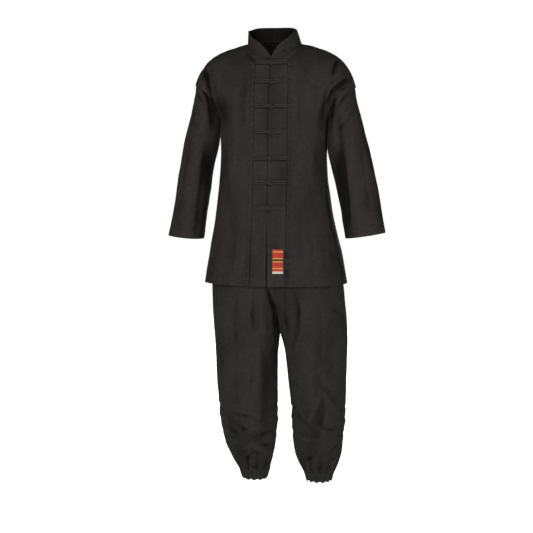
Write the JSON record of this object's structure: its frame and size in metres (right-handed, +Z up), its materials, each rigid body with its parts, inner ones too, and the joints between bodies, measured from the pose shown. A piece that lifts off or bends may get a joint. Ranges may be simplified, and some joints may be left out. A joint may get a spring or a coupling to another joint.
{
  "type": "tai chi uniform",
  "caption": "Tai chi uniform: black cotton jacket with stand collar and knotted frog closures over trousers gathered at the ankles, hollow as if worn.",
  "frame": {"origin": "midway between the sides of the neck, level with where the collar meets the shoulders", "axes": "+Z up, the garment's front faces -Y, +X to the wearer's left"},
  "size_m": [0.685, 0.3001, 1.4256],
  "materials": {
    "cloth": "matte",
    "cord": "satin",
    "label": "satin"
  },
  "bodies": {
    "root": {"jacket_back": "cloth", "collar": "cloth", "jacket_front_left": "cloth", "front_band_left": "cloth", "sleeve_left": "cloth", "jacket_front_right": "cloth", "front_band_right": "cloth", "sleeve_right": "cloth", "waistband": "cloth", "ankle_band_left": "cloth", "ankle_band_right": "cloth", "trouser_front_left": "cloth", "trouser_back_left": "cloth", "trouser_front_right": "cloth", "trouser_back_right": "cloth", "label": "label", "frog_1_knot": "cord", "frog_1_strap_left": "cord", "frog_1_strap_right": "cord", "frog_2_knot": "cord", "frog_2_strap_left": "cord", "frog_2_strap_right": "cord", "frog_3_knot": "cord", "frog_3_strap_left": "cord", "frog_3_strap_right": "cord", "frog_4_knot": "cord", "frog_4_strap_left": "cord", "frog_4_strap_right": "cord", "frog_5_knot": "cord", "frog_5_strap_left": "cord", "frog_5_strap_right": "cord", "frog_6_knot": "cord", "frog_6_strap_left": "cord", "frog_6_strap_right": "cord", "frog_7_knot": "cord", "frog_7_strap_left": "cord", "frog_7_strap_right": "cord"}
  },
  "joints": []
}
